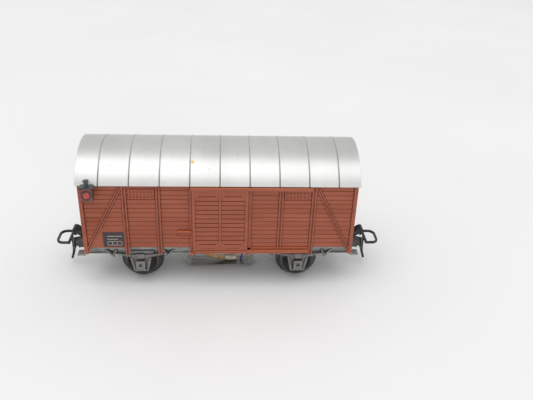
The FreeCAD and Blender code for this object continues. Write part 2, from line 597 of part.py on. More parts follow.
lamp_wire_route = [(LAMP_X, WIRE_Y, 30.4), (LAMP_X, WIRE_Y, 17.2), (WIRE_X, WIRE_Y, 17.2),
                   (WIRE_X, WIRE_Y, PLATE_UNDER)]
save(wire(lamp_wire_route, WIRE_R, TIGHT_BEND), "lamp_wire")
shoe_wire_route = [(WIRE_X, WIRE_Y, PLATE_UNDER), (WIRE_X, WIRE_Y, 7.4), (8.5, 1.0, 4.2), (7.4, 0.3, 0.4)]
shoe_wire = wire(shoe_wire_route, WIRE_R, LOOSE_BEND)
save(shoe_wire.cut(box(0, 20, -5, 5, 0, SHOE_TOP)), "shoe_wire")

# ---- dark label boards --------------------------------------------------
label = box(-38.2, -31.6, -LABEL_PANEL_Y - 0.12, -LABEL_PANEL_Y, 16.5, 21.9)
save(label, "label_board_near")
save(half_turn(label), "label_board_far")
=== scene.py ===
import math
import bmesh
import bpy
from mathutils import Matrix, Vector


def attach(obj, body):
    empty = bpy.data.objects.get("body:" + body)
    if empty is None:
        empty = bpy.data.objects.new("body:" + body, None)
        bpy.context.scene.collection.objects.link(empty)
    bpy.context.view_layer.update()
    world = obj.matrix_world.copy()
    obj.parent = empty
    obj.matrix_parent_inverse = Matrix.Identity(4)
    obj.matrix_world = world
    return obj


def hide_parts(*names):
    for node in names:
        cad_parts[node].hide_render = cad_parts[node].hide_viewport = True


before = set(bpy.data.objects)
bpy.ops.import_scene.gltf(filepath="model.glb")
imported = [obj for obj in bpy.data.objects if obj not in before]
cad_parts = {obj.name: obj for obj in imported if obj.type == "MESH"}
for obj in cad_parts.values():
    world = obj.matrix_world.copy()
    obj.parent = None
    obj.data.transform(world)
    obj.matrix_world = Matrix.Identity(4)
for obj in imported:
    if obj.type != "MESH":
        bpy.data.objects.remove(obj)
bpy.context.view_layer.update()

# ---------------------------------------------------------------- underframe
# The grey moulding everything else is fixed to: a floor with a raised rim
# that the body sits over, two channel solebars, a beam across each end with
# its coupler boss, and a step on two straps under every buffer.

FLOOR_X, FLOOR_Y = 44.2, 14.9
SOLE_Y, SOLE_WEB, SOLE_LOW, FLOOR_LOW = 13.15, 12.35, 12.2, 15.2
BEAM_X, BODY_LOW = 45.0, 16.0


def block(x0, x1, y0, y1, z0, z1):
    """Corner points and faces of a block. Sizes are in millimetres up to piece()."""
    xs, ys, zs = sorted((x0, x1)), sorted((y0, y1)), sorted((z0, z1))
    points = [(x, y, z) for z in zs for y in ys for x in xs]
    faces = [(0, 2, 3, 1), (4, 5, 7, 6), (0, 1, 5, 4), (2, 6, 7, 3), (0, 4, 6, 2), (1, 3, 7, 5)]
    return points, faces


def stack(rings):
    """A closed skin over a row of outlines that all have the same count."""
    count = len(rings[0])
    points = [p for ring in rings for p in ring]
    faces = [tuple(range(count))[::-1]]
    for row in range(len(rings) - 1):
        for i in range(count):
            j = (i + 1) % count
            low = row * count
            faces.append((low + i, low + j, low + count + j, low + count + i))
    faces.append(tuple(range(len(points) - count, len(points))))
    return points, faces


def along(axis, at, a, b):
    """The point with a and b across the axis and at along it."""
    return {"x": (at, a, b), "y": (a, at, b), "z": (a, b, at)}[axis]


def bar(outline, axis, start, end):
    """A flat outline drawn out along an axis."""
    return stack([[along(axis, at, a, b) for a, b in outline] for at in (start, end)])


def turned(profile, axis, centre, steps=40):
    """A lathe shape: pairs of place along the axis and radius about it."""
    points, rows = [], []
    for place, radius in profile:
        if radius < 1e-6:
            rows.append([len(points)] * steps)
            points.append(along(axis, place, *centre))
            continue
        rows.append(list(range(len(points), len(points) + steps)))
        for i in range(steps):
            turn = 2 * math.pi * i / steps
            across = centre[0] + radius * math.cos(turn)
            up = centre[1] + radius * math.sin(turn)
            points.append(along(axis, place, across, up))
    faces = []
    closed = profile[0][1] > 0
    for k in range(len(rows) if closed else len(rows) - 1):
        one, two = rows[k], rows[(k + 1) % len(rows)]
        for i in range(steps):
            j = (i + 1) % steps
            corners = []
            for corner in (one[i], one[j], two[j], two[i]):
                if corner not in corners:
                    corners.append(corner)
            if len(corners) > 2:
                faces.append(tuple(corners))
    return points, faces


def strut(xa, za, xb, zb, width, y0, y1):
    """A straight bar between two places on a side, width across it."""
    run = math.hypot(xb - xa, zb - za)
    nx, nz = -(zb - za) / run * width / 2, (xb - xa) / run * width / 2
    return bar([(xa + nx, za + nz), (xb + nx, zb + nz), (xb - nx, zb - nz), (xa - nx, za - nz)], "y", y0, y1)


def flipped(parts, x=1, y=1):
    """The same parts on the other end (x=-1) or the other side (y=-1)."""
    return [([(px * x, py * y, pz) for px, py, pz in points], faces) for points, faces in parts]


def rivet(x, y, z, side, radius=0.28):
    """A round rivet head on a face that looks along Y."""
    dome = [(y, radius), (y + side * 0.08, radius * 0.9), (y + side * 0.16, radius * 0.5),
            (y + side * 0.18, 0)]
    return turned(dome + [(y - side * 0.1, 0), (y - side * 0.1, radius)], "y", (x, z), 12)


def piece(name, parts, finish, body, stands_for=(), edge=0.06, rounds=2, sharp=35):
    """Joins parts into one mesh object with eased edges and rides it."""
    mesh = bpy.data.meshes.new(name)
    shape = bmesh.new()
    for points, faces in parts:
        verts = [shape.verts.new([c * 0.001 for c in p]) for p in points]
        for face in faces:
            shape.faces.new([verts[i] for i in face])
    bmesh.ops.recalc_face_normals(shape, faces=shape.faces)
    shape.to_mesh(mesh)
    shape.free()
    for polygon in mesh.polygons:
        polygon.use_smooth = True
    mesh.set_sharp_from_angle(angle=math.radians(sharp))
    thing = bpy.data.objects.new(name, mesh)
    bpy.context.scene.collection.objects.link(thing)
    mesh.materials.append(finish)
    if edge:
        ease = thing.modifiers.new("eased edges", "BEVEL")
        ease.width = edge * 0.001
        ease.segments = rounds
        ease.limit_method = "ANGLE"
        ease.angle_limit = math.radians(sharp)
        ease.harden_normals = True
    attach(thing, body)
    if stands_for:
        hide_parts(*stands_for)
    return thing


def finish(name, tints, rough, scale, bump, metal=0.0, corner_shade=None, corner_shade_reach=0.5, stretch=(1, 1, 1), coat=0.0,
           edge_wear_and_highlight=None, edge_band_width=0.14, shine=0.5, painted_top_light=None):
    """A worked surface: mottled tint, uneven gloss, fine grain, painted shade in the
    corners, paler edges that are partly rubbed wear and partly painted highlight
    and, where asked, a painted highlight on the faces that look up. Tints run from dark to light."""
    made = bpy.data.materials.new(name)
    made.use_nodes = True
    nodes, links = made.node_tree.nodes, made.node_tree.links
    shader = nodes["Principled BSDF"]
    shader.inputs["Metallic"].default_value = metal
    shader.inputs["Coat Weight"].default_value = coat
    shader.inputs["Coat Roughness"].default_value = 0.25
    shader.inputs["Specular IOR Level"].default_value = shine
    where = nodes.new("ShaderNodeTexCoord")
    place = nodes.new("ShaderNodeMapping")
    place.inputs["Scale"].default_value = stretch
    links.new(where.outputs["Object"], place.inputs["Vector"])
    mottle = nodes.new("ShaderNodeTexNoise")
    mottle.inputs["Scale"].default_value = scale
    mottle.inputs["Detail"].default_value = 6
    mottle.inputs["Roughness"].default_value = 0.62
    links.new(place.outputs["Vector"], mottle.inputs["Vector"])
    ramp = nodes.new("ShaderNodeValToRGB")
    ramp.color_ramp.elements[0].position = 0.3
    ramp.color_ramp.elements[0].color = (*tints[0], 1)
    ramp.color_ramp.elements[1].position = 0.7
    ramp.color_ramp.elements[1].color = (*tints[-1], 1)
    for i, tint in enumerate(tints[1:-1]):
        spot = ramp.color_ramp.elements.new(0.3 + 0.4 * (i + 1) / (len(tints) - 1))
        spot.color = (*tint, 1)
    links.new(mottle.outputs["Fac"], ramp.inputs["Fac"])
    colour = ramp.outputs["Color"]
    # Paler edges: partly rubbed wear, partly painted highlight where edges catch the light from above.
    if edge_wear_and_highlight:
        eased = nodes.new("ShaderNodeBevel")
        eased.samples = 4
        eased.inputs["Radius"].default_value = edge_band_width * 0.001
        face = nodes.new("ShaderNodeNewGeometry")
        match = nodes.new("ShaderNodeVectorMath")
        match.operation = "DOT_PRODUCT"
        links.new(eased.outputs["Normal"], match.inputs[0])
        links.new(face.outputs["True Normal"], match.inputs[1])
        wear_and_highlight_mask = nodes.new("ShaderNodeMapRange")
        wear_and_highlight_mask.inputs["From Min"].default_value = 0.995
        wear_and_highlight_mask.inputs["From Max"].default_value = 0.90
        wear_and_highlight_mask.inputs["To Max"].default_value = 0.8
        links.new(match.outputs["Value"], wear_and_highlight_mask.inputs["Value"])
        paler = nodes.new("ShaderNodeMix")
        paler.data_type = "RGBA"
        links.new(wear_and_highlight_mask.outputs["Result"], paler.inputs["Factor"])
        links.new(colour, paler.inputs["A"])
        paler.inputs["B"].default_value = (*edge_wear_and_highlight, 1)
        colour = paler.outputs["Result"]
    # Painted highlight: faces whose normal points up get a brighter tint, as if lit from above.
    if painted_top_light:
        facing = nodes.new("ShaderNodeNewGeometry")
        parts_of = nodes.new("ShaderNodeSeparateXYZ")
        links.new(facing.outputs["Normal"], parts_of.inputs["Vector"])
        top_light_mask = nodes.new("ShaderNodeMapRange")
        top_light_mask.inputs["From Min"].default_value = 0.25
        top_light_mask.inputs["From Max"].default_value = 0.75
        links.new(parts_of.outputs["Z"], top_light_mask.inputs["Value"])
        top_light_mix = nodes.new("ShaderNodeMix")
        top_light_mix.data_type = "RGBA"
        links.new(top_light_mask.outputs["Result"], top_light_mix.inputs["Factor"])
        links.new(colour, top_light_mix.inputs["A"])
        top_light_mix.inputs["B"].default_value = (*painted_top_light, 1)
        colour = top_light_mix.outputs["Result"]
    # Painted shade: where ambient occlusion finds a corner, groove or recess, the tint is pulled towards a
    # dark colour.
    if corner_shade:
        corners = nodes.new("ShaderNodeAmbientOcclusion")
        corners.samples = 8
        corners.inputs["Distance"].default_value = corner_shade_reach * 0.001
        keep = nodes.new("ShaderNodeMapRange")
        keep.inputs["From Min"].default_value = 0.45
        keep.inputs["From Max"].default_value = 0.95
        links.new(corners.outputs["AO"], keep.inputs["Value"])
        blend = nodes.new("ShaderNodeMix")
        blend.data_type = "RGBA"
        links.new(keep.outputs["Result"], blend.inputs["Factor"])
        blend.inputs["A"].default_value = (*corner_shade, 1)
        links.new(colour, blend.inputs["B"])
        colour = blend.outputs["Result"]
    links.new(colour, shader.inputs["Base Color"])
    grain = nodes.new("ShaderNodeTexNoise")
    grain.inputs["Scale"].default_value = scale * 7
    grain.inputs["Detail"].default_value = 4
    links.new(place.outputs["Vector"], grain.inputs["Vector"])
    gloss = nodes.new("ShaderNodeMapRange")
    gloss.inputs["To Min"].default_value = rough[0]
    gloss.inputs["To Max"].default_value = rough[1]
    links.new(mottle.outputs["Fac"], gloss.inputs["Value"])
    links.new(gloss.outputs["Result"], shader.inputs["Roughness"])
    relief = nodes.new("ShaderNodeBump")
    relief.inputs["Strength"].default_value = bump
    relief.inputs["Distance"].default_value = 0.00004
    links.new(grain.outputs["Fac"], relief.inputs["Height"])
    links.new(relief.outputs["Normal"], shader.inputs["Normal"])
    return made


# The frame tints are set somewhat darker than the moulding's own grey, partly as painted shade for the shade
# under the car; the darkened corners are painted shade and the paler edges partly painted highlight.
frame_grey = finish("frame grey", [(0.17, 0.17, 0.168), (0.25, 0.25, 0.245), (0.33, 0.33, 0.32)],
                    (0.40, 0.58), 260, 0.35, corner_shade=(0.03, 0.03, 0.032), corner_shade_reach=0.7,
                    edge_wear_and_highlight=(0.42, 0.42, 0.405), shine=0.35)
parts = [block(-FLOOR_X, FLOOR_X, -FLOOR_Y, FLOOR_Y, FLOOR_LOW, BODY_LOW),
         block(-43.3, 43.3, -14.2, 14.2, BODY_LOW, 16.6)]
for side in (-1, 1):
    parts.append(block(-FLOOR_X, FLOOR_X, side * SOLE_WEB, side * 12.85, SOLE_LOW, FLOOR_LOW))
    parts.append(block(-FLOOR_X, FLOOR_X, side * 12.8, side * SOLE_Y, SOLE_LOW, 12.55))
    parts.append(block(-FLOOR_X, FLOOR_X, side * 12.8, side * SOLE_Y, 13.6, FLOOR_LOW))
    for k in range(-13, 14):
        x = k * 3.2
        parts.append(rivet(x, side * SOLE_Y, 14.3, side, 0.2))
for end in (-1, 1):
    parts.append(block(end * FLOOR_X, end * BEAM_X, -13.6, 13.6, 12.6, BODY_LOW))
    parts.append(turned([(SOLE_LOW, 2.6), (FLOOR_LOW, 2.6), (FLOOR_LOW, 1.0), (SOLE_LOW, 1.0)], "z",
                        (end * 38.0, 0)))
    parts.append(block(end * 31.2, end * 32.6, -1.1, -0.15, 10.9, FLOOR_LOW))
    parts.append(block(end * 31.2, end * 32.6, 0.15, 1.1, 10.9, FLOOR_LOW))
    for y in (-5.6, -4.2, 4.2, 5.6):
        for z in (13.4, 15.2):
            bolt = [(45.0, 0.26), (45.12, 0.24), (45.16, 0.0), (44.9, 0.0), (44.9, 0.26)]
            parts.append(turned([(end * x, radius) for x, radius in bolt], "x", (y, z), 10))
    for side in (-1, 1):
        parts.append(block(end * 45.6, end * 48.2, side * 8.7, side * 11.9, 10.5, 10.95))
        for y in (8.7, 11.3):
            parts.append(strut(end * 44.6, 13.0, end * 46.0, 10.7, 0.6, side * y, side * (y + 0.6)))
        for k in range(3):
            x = 46.1 + k * 0.7
            parts.append(block(end * x, end * (x + 0.3), side * 9.0, side * 11.6, 10.9, 11.0))
piece("underframe_moulding", parts, frame_grey, "car", ["underframe"])

# ----------------------------------------------------- weight and load floor
# A cut steel plate lies on the underframe to hold the light car on the rails.
# A thin brown board sheet covers it and is the floor seen through the doors.

plate_steel = finish("weight steel", [(0.20, 0.20, 0.21), (0.34, 0.34, 0.35)], (0.3, 0.5), 420, 0.3,
                     metal=1.0)


def dress(node, surface):
    """Gives a CAD node that is shown as it is its worked surface."""
    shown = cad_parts[node]
    for place in shown.material_slots:
        place.material = surface


dress("weight_plate", plate_steel)
board_brown = finish("load floor", [(0.05, 0.025, 0.015), (0.09, 0.05, 0.03), (0.13, 0.075, 0.05)],
                     (0.55, 0.75), 150, 0.5, stretch=(0.3, 3, 1))
parts = [block(-43.3, 43.3, -14.2, 14.2, 17.8, 18.15)]
for k in range(12):
    y = -14.1 + k * 2.36
    parts.append(block(-43.25, 43.25, y, y + 2.18, 18.1, 18.3))
piece("load_floor_boards", parts, board_brown, "car", ["load_floor"], edge=0.04)

# -------------------------------------------------------------- axle guards
# Four grey mouldings glued under the solebars. Each is a guard plate with its
# axle box and cover, a spring of four leaves held by a buckle, and a V hanger
# at both spring ends. A turned brass cup in the box carries the axle point.

AXLE_X, AXLE_Z = 26.85, 7.3
LEAF_THICK, LEAF_CURVE = 0.28, 0.008


def leaf(x, half, low):
    """One spring leaf, lowest under the buckle and curling up at its ends."""
    under, over = [], []
    for k in range(17):
        run = half * (k / 8 - 1)
        rise = LEAF_CURVE * run * run
        under.append((x + run, low + rise))
        over.append((x + run, low + rise + LEAF_THICK - 0.05))
    return bar(under + over[::-1], "y", -14.0, -13.15)


def guard_parts(x):
    """The near-side moulding at one axle."""
    plate = [(x - 3.65, 12.2), (x - 3.65, 10.9), (x - 2.45, 5.1), (x + 2.45, 5.1), (x + 3.65, 10.9),
             (x + 3.65, 12.2)]
    made = [bar(plate, "y", -13.0, -SOLE_WEB), block(x - 3.3, x + 3.3, -13.35, -12.9, 10.3, 12.2)]
    made.append(strut(x - 2.4, 5.4, x + 2.4, 5.4, 0.6, -13.35, -12.9))
    made.append(block(x - 4.5, x + 4.5, -13.55, -13.1, 12.2, 13.5))
    for k, half in enumerate((3.0, 5.0, 7.0, 9.0)):
        made.append(leaf(x, half, 11.06 + k * LEAF_THICK))
    for way in (-1, 1):
        made.append(strut(x + way * 3.25, 10.9, x + way * 2.1, 5.4, 0.75, -13.35, -12.9))
        made.append(strut(x + way * 8.8, 11.4, x + way * 11.3, 14.1, 0.6, -13.85, -13.1))
        made.append(strut(x + way * 8.8, 11.4, x + way * 7.9, 14.1, 0.6, -13.85, -13.1))
        made.append(turned([(-13.95, 0.0), (-13.95, 0.42), (-13.1, 0.42), (-13.1, 0.0)], "y",
                           (x + way * 8.8, 11.45), 16))
        made.append(turned([(-14.15, 0.0), (-14.15, 0.3), (-13.1, 0.3), (-13.1, 0.0)], "y",
                           (x + way * 8.75, 12.72), 12))
        made.append(rivet(x + way * 4.0, -13.55, 12.85, -1, 0.22))
        made.append(rivet(x + way * 2.9, -13.35, 11.0, -1, 0.22))
        made.append(block(x + way * 0.6, x + way * 1.5, -14.75, -14.3, 6.55, 9.8))
        made.append(rivet(x + way * 1.12, -14.75, 9.4, -1, 0.16))
        made.append(rivet(x + way * 1.12, -14.75, 6.95, -1, 0.16))
    made.append(bar([(x - 1.4, 12.4), (x + 1.4, 12.4), (x + 0.9, 10.7), (x - 0.9, 10.7)], "y", -14.25, -13.1))
    made.append(block(x - 1.35, x + 1.35, -14.35, -12.9, 5.8, 9.6))
    made.append(block(x - 0.7, x + 0.7, -14.75, -14.3, 8.95, 9.8))
    made.append(block(x - 0.7, x + 0.7, -14.75, -14.3, 6.55, 7.75))
    return made


# The guard tints are set darker than the moulding's own grey, partly as painted shade for the shade under the
# car; the darkened corners are painted shade and the paler edges partly painted highlight.
guard_grey = finish("guard grey", [(0.12, 0.117, 0.11), (0.18, 0.176, 0.168), (0.25, 0.245, 0.235)],
                    (0.38, 0.58), 330, 0.4, corner_shade=(0.012, 0.012, 0.012), corner_shade_reach=0.8,
                    edge_wear_and_highlight=(0.45, 0.44, 0.42), shine=0.35)
cup_brass = finish("cup brass", [(0.42, 0.27, 0.09), (0.62, 0.44, 0.17)], (0.2, 0.38), 500, 0.2, metal=1.0)
for end, end_name in ((-1, "left"), (1, "right")):
    for side, side_name in ((-1, "near"), (1, "far")):
        where_at = side_name + "_" + end_name
        parts = flipped(guard_parts(end * AXLE_X), y=-side)
        piece("axle_guard_with_spring_" + where_at, parts, guard_grey, "car", ["axle_guard_" + where_at],
              edge=0.05)
        parts = [turned([(side * 14.2, 0.0), (side * 14.2, 1.2), (side * 12.35, 1.2), (side * 12.35, 0.75),
                         (side * 13.9, 0.72), (side * 13.95, 0.0)], "y", (end * AXLE_X, AXLE_Z), 32)]
        piece("axle_cup_" + where_at, parts, cup_brass, "car", ["bearing_cup_" + where_at],
              edge=0.03)

# ---------------------------------------------------------------- wheelsets
# Two steel axles with pointed journals, pressed into black wheel centres.
# Each centre carries a turned metal tyre whose tread has been rubbed bright.

axle_steel = finish("axle steel", [(0.30, 0.30, 0.31), (0.48, 0.48, 0.49)], (0.22, 0.4), 600, 0.2, metal=1.0)
centre_black = finish("wheel centre black", [(0.012, 0.011, 0.012), (0.022, 0.020, 0.021),
                                             (0.036, 0.033, 0.034)], (0.40, 0.60), 400, 0.3, shine=0.3)
# The tyre tints are set darker than the bare metal, partly as painted shade under the car; the paler edges
# are partly rubbed metal and partly painted highlight.
tyre_metal = finish("tyre metal", [(0.035, 0.033, 0.032), (0.06, 0.057, 0.055), (0.10, 0.096, 0.092)],
                    (0.32, 0.48), 350, 0.15, metal=0.8, edge_wear_and_highlight=(0.34, 0.33, 0.32), edge_band_width=0.2)
axle_profile = [(-13.75, 0.0), (-13.75, 0.42), (-13.45, 0.70), (-12.2, 0.70), (-12.15, 0.97), (-10.2, 1.0),
                (-6.6, 1.0), (-6.4, 0.86), (6.4, 0.86), (6.6, 1.0), (10.2, 1.0), (12.15, 0.97), (12.2, 0.70),
                (13.45, 0.70), (13.75, 0.42), (13.75, 0.0)]
centre_profile = [(-10.1, 1.0), (-10.1, 1.55), (-10.0, 1.85), (-9.35, 2.0), (-9.15, 2.35), (-9.05, 3.6),
                  (-9.2, 4.1), (-9.55, 4.5), (-9.7, 4.8), (-9.7, 5.1), (-7.2, 5.1), (-7.25, 4.7),
                  (-7.6, 4.3), (-7.6, 2.3), (-7.4, 1.9), (-7.2, 1.7), (-7.2, 1.0)]
tyre_profile = [(-10.0, 5.1), (-10.0, 5.65), (-9.93, 5.82), (-9.8, 5.92), (-8.3, 6.0), (-8.1, 6.06),
                (-7.98, 6.22), (-7.9, 6.5), (-7.82, 6.95), (-7.7, 7.2), (-7.5, 7.3), (-7.25, 7.23),
                (-7.08, 7.0), (-7.0, 6.7), (-7.0, 5.1)]
for end, end_name in ((-1, "left"), (1, "right")):
    spot = (end * AXLE_X, AXLE_Z)
    riding = "wheelset_" + end_name
    piece("turned_axle_" + end_name, [turned(axle_profile, "y", spot)], axle_steel, riding,
          ["axle_" + end_name], edge=0)
    for side, side_name in ((-1, "near"), (1, "far")):
        where_at = side_name + "_" + end_name
        parts = [turned(centre_profile, "y", spot, 64)]
        for k in range(6):
            turn = math.radians(60 * k + 30)
            hole = (spot[0] + 3.0 * math.cos(turn), spot[1] + 3.0 * math.sin(turn))
            parts.append(turned([(-9.2, 0.0), (-9.2, 0.42), (-9.0, 0.48), (-8.9, 0.0)], "y", hole, 14))
        piece("wheel_disc_" + where_at, flipped(parts, y=-side), centre_black, riding,
              ["wheel_centre_" + where_at], edge=0)
        parts = flipped([turned(tyre_profile, "y", spot, 96)], y=-side)
        piece("wheel_tyre_" + where_at, parts, tyre_metal, riding, ["tyre_" + where_at], edge=0)

# ------------------------------------------------------------------- buffers
# Dark grey mouldings pushed into the end beams: a flanged base with four bolt
# heads, a stepped housing, a plunger and a slightly domed head.

# The buffer tints are set darker than the moulding's own grey, partly as painted shade under the car; the
# darkened corners are painted shade and the paler edges partly painted highlight.
buffer_grey = finish("buffer grey", [(0.028, 0.027, 0.026), (0.05, 0.048, 0.047), (0.085, 0.082, 0.08)],
                     (0.35, 0.55), 380, 0.3, corner_shade=(0.008, 0.008, 0.008), edge_wear_and_highlight=(0.16, 0.155, 0.15),
                     shine=0.35)


def buffer_parts():
    """The near-side buffer of the right end."""
    spot = (-10.3, 14.7)
    made = [block(45.0, 45.45, -12.2, -8.4, 13.0, 16.0)]
    made.append(turned([(45.0, 0.0), (45.0, 1.75), (45.7, 1.7), (45.95, 1.5), (47.1, 1.45), (47.15, 1.62),
                        (47.45, 1.62), (47.5, 1.1), (48.5, 1.1), (48.62, 1.5), (48.7, 1.95), (48.85, 2.0),
                        (49.05, 2.0), (49.17, 1.9), (49.25, 1.2), (49.3, 0.0)], "x", spot, 48))
    for y in (-11.75, -8.85):
        for z in (13.45, 15.55):
            made.append(turned([(45.4, 0.0), (45.4, 0.25), (45.56, 0.23), (45.6, 0.0)], "x", (y, z), 6))
    return made


for end, end_name in ((-1, "left"), (1, "right")):
    for side, side_name in ((-1, "near"), (1, "far")):
        where_at = side_name + "_" + end_name
        piece("buffer_moulding_" + where_at, flipped(buffer_parts(), x=end, y=-side), buffer_grey, "car",
              ["buffer_" + where_at], edge=0.04)

# ------------------------------------------------------------------ couplers
# Black metal hook-and-loop couplers. A drawbar swings on a rivet under the
# floor and a bronze strip in its notch centres it. Its front slopes up as a
# guide, and the loop with blade and trip tail turns on a pin through it.

coupler_black = finish("coupler black", [(0.008, 0.009, 0.010), (0.02, 0.022, 0.024), (0.05, 0.055, 0.058)],
                       (0.25, 0.45), 450, 0.3, metal=0.35)
screw_steel = finish("screw steel", [(0.34, 0.34, 0.35), (0.55, 0.55, 0.56)], (0.2, 0.35), 500, 0.2,
                     metal=1.0)
bronze = finish("spring bronze", [(0.36, 0.20, 0.08), (0.52, 0.32, 0.15)], (0.22, 0.38), 500, 0.2, metal=1.0)


def drawbar_parts():
    """The right-hand drawbar: eye, spring fork, sloped front and hook nose."""
    made = [turned([(10.9, 2.2), (12.1, 2.2), (12.1, 1.06), (10.9, 1.06)], "z", (38.0, 0), 40)]
    for y in (-1.5, 0.65):
        made.append(block(35.2, 37.2, y, y + 0.85, 10.9, 12.1))
    slope = [(39.4, 10.9), (46.4, 10.9), (49.0, 12.05), (51.3, 13.2), (51.6, 14.0), (51.65, 14.8),
             (51.3, 15.1), (50.9, 15.2), (49.2, 14.2), (46.0, 12.1), (39.4, 12.1)]
    made.append(bar(slope, "y", -1.6, 1.6))
    nose = [(50.75, 12.8), (50.75, 11.7), (51.35, 11.7), (51.45, 13.4), (51.0, 13.6)]
    made.append(bar(nose, "y", -0.7, 0.7))
    for side in (-1, 1):
        made.append(strut(46.3, 12.35, 50.6, 15.15, 0.24, side * 1.15, side * 1.55))
    return made


def bow(front, half, radius, back):
    """Half of a rounded frame seen from above, from one arm to the other."""
    line = [(back, -half)]
    for corner in (-1, 1):
        for k in range(13):
            turn = math.radians(90 * (corner - 1) / 2 + 90 * k / 12)
            line.append((front - radius + radius * math.cos(turn),
                         corner * (half - radius) + radius * math.sin(turn)))
    line.append((back, half))
    return line


def loop_parts():
    """The right-hand loop with its two arms and the trip tail."""
    rings = []
    for far, near in zip(bow(57.25, 4.35, 2.5, 52.3), bow(56.5, 3.6, 1.75, 52.3)):
        rings.append([(*far, 10.4), (*far, 11.2), (*near, 11.2), (*near, 10.4)])
    made = [stack(rings), block(52.3, 53.1, -4.3, 4.3, 10.4, 11.2)]
    arm = [(46.6, 12.5), (47.7, 12.6), (53.0, 11.2), (53.0, 10.4), (47.0, 11.4), (46.6, 11.7)]
    for side in (-1, 1):
        made.append(bar(arm, "y", side * 1.75, side * 2.4))
    blade = [(52.1, 11.2), (52.75, 11.2), (52.7, 9.0), (52.7, 5.8), (53.0, 4.2), (53.6, 2.4), (53.55, 1.95),
             (52.9, 1.95), (52.2, 4.0), (51.85, 5.4), (52.0, 9.0)]
    made.append(bar(blade, "y", -0.6, 0.6))
    return made


for end, end_name in ((-1, "left"), (1, "right")):
    piece("coupler_drawbar_" + end_name, flipped(drawbar_parts(), x=end), coupler_black,
          "coupler_" + end_name, ["drawbar_" + end_name], edge=0.12, rounds=3)
    piece("coupler_loop_and_tail_" + end_name, flipped(loop_parts(), x=end), coupler_black,
          "loop_" + end_name, ["coupler_loop_" + end_name], edge=0.12, rounds=3)
    pin = turned([(-2.45, 0.0), (-2.45, 0.3), (-2.35, 0.4), (2.35, 0.4), (2.45, 0.3), (2.45, 0.0)], "y",
                 (end * 47.2, 12.0), 20)
    piece("coupler_pin_" + end_name, [pin], axle_steel, "loop_" + end_name, ["loop_pin_" + end_name],
          edge=0)
    head = turned([(10.2, 0.0), (10.2, 1.5), (10.35, 1.85), (10.6, 1.9), (10.8, 1.9), (10.8, 1.0),
                   (15.2, 1.0), (15.2, 0.0)], "z", (end * 38.0, 0), 32)
    piece("coupler_shoulder_rivet_" + end_name, [head], screw_steel, "car", ["coupler_rivet_" + end_name],
          edge=0)
    dress("centring_spring_" + end_name, bronze)

# -------------------------------------------------------------- contact shoe
# A bright skid that picks current from studs between the rails. It hangs on a
# bronze leaf screwed to a pressed board plate, with a cream block on top, and
# a blue lead takes the current up through the floor to the tail lamp.

# The skid's dark tint partly stands for the shade under the car, as painted shade, and its pale edge is
# partly burnished metal and partly painted highlight.
shoe_metal = finish("shoe metal", [(0.10, 0.095, 0.09), (0.18, 0.17, 0.16), (0.30, 0.28, 0.27)],
                    (0.22, 0.42), 420, 0.25, metal=0.9, stretch=(0.2, 3, 3), edge_wear_and_highlight=(0.75, 0.72, 0.70),
                    edge_band_width=0.3)
block_cream = finish("block cream", [(0.48, 0.42, 0.30), (0.64, 0.58, 0.44), (0.74, 0.68, 0.54)],
                     (0.4, 0.55), 300, 0.3)
board_plate = finish("pressed board", [(0.06, 0.03, 0.015), (0.11, 0.055, 0.03)], (0.5, 0.7), 280, 0.5)
wire_blue = finish("wire blue", [(0.010, 0.035, 0.20), (0.016, 0.06, 0.32)], (0.25, 0.4), 300, 0.15)
skid_top = [(-12.6, 2.3), (-11.9, 1.6), (-11.2, 1.05), (-10.6, 0.76), (-10.0, 0.7)]
skid_low = [(-12.9, 2.0), (-12.1, 1.3), (-11.3, 0.7), (-10.7, 0.41), (-10.2, 0.35)]
outline = skid_top + [(-x, z) for x, z in skid_top[::-1]]
outline += [(-x, z) for x, z in skid_low] + skid_low[::-1]
piece("contact_skid", [bar(outline, "y", -3.0, 3.0)], shoe_metal, "shoe", ["contact_shoe"],
      edge=0.08)
parts = [block(1.6, 5.9, -0.6, 2.2, 1.4, 2.8), block(2.2, 5.3, 0.2, 1.8, 0.7, 1.5)]
piece("skid_block", parts, block_cream, "shoe", ["shoe_block"], edge=0.1)
dress("shoe_insulator", board_plate)
dress("shoe_spring", bronze)
parts = [turned([(13.2, 0.0), (13.2, 1.0), (13.35, 1.35), (13.6, 1.4), (14.0, 1.4), (14.0, 0.8), (17.8, 0.8),
                 (17.8, 0.0)], "z", (-5.0, 0), 32)]
piece("shoe_screw_turned", parts, screw_steel, "car", ["shoe_screw"], edge=0)
dress("shoe_wire", wire_blue)
dress("lamp_wire", wire_blue)

# ---------------------------------------------------------------- body shell
# One red-brown plastic moulding: fourteen boards a side, channel posts and
# corner posts whose feet reach past the boards, channel braces in the end
# bays, slatted flaps, rails for the doors, a planked end with two posts.

BOARD_LOW, BOARD_STEP, EAVE = 16.0, 1.63, 39.25
WALL_OUT_Y, WALL_IN_Y, WALL_OUT_X, WALL_IN_X = 15.2, 14.2, 44.3, 43.3
ARCH_Z, ARCH_IN, GROOVE_DEEP = 29.53, 18.2, 0.24
POST_LOW, POST_OUT_Y, BEHIND_Y = 13.45, 15.64, 15.1
# The orange edge and top tints of the body and doors are painted highlight from light above, and the darkened
# grooves are painted shade.
body_brown = finish("body red brown", [(0.24, 0.065, 0.036), (0.30, 0.084, 0.049), (0.35, 0.103, 0.064)],
                    (0.40, 0.56), 90, 0.35, corner_shade=(0.075, 0.012, 0.010), corner_shade_reach=0.45,
                    stretch=(0.35, 1, 2.2), edge_wear_and_highlight=(0.60, 0.16, 0.062), shine=0.3, painted_top_light=(0.66, 0.17, 0.05))


